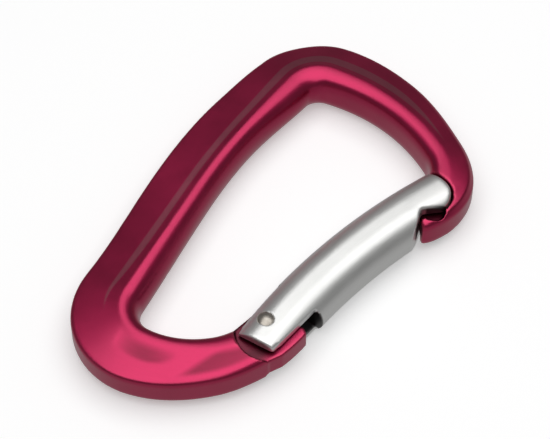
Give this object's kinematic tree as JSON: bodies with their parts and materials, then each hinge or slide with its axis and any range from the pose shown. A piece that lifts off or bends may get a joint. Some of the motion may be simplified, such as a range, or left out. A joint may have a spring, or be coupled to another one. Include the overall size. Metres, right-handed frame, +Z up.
{
  "type": "climbing carabiner",
  "caption": "Bent-gate climbing carabiner: a hot-forged D-shaped aluminium frame with a hooked nose and a sprung gate that swings inward on a rivet.",
  "frame": {"origin": "centre of the bounding box, on the surface that the carabiner lies on", "axes": "+Y along the spine from the hinge end to the nose end, +X from the spine to the gate, +Z up through the thickness"},
  "size_m": [0.063, 0.0992, 0.0114],
  "materials": {
    "frame": "satin red anodised",
    "gate": "satin polished",
    "rivet": "stainless, turned",
    "rod": "stainless, turned",
    "spring": "drawn spring wire"
  },
  "bodies": {
    "frame_body": {"frame": "frame"},
    "gate_body": {"gate": "gate", "gate_rivet": "rivet", "gate_spring": "spring"},
    "push_rod_body": {"push_rod": "rod"}
  },
  "joints": [
    {"name": "gate_hinge", "type": "hinge", "parent": "frame_body", "child": "gate_body", "pos_m": [0.00841, -0.02395, 0.0057], "axis": [0, 0, 1], "range_deg": [0, 26], "stiffness_Nm_per_rad": 0.3, "springref_deg": -57.3},
    {"name": "push_rod_slide", "type": "slide", "parent": "gate_body", "child": "push_rod_body", "axis": [0.2342, 0.9722, 0], "range_m": [0, 0.0019], "deforming": ["gate_spring"]}
  ],
  "couplings": [
    {"joint": "push_rod_slide", "follows": "gate_hinge", "m_per_rad": 0.004}
  ]
}
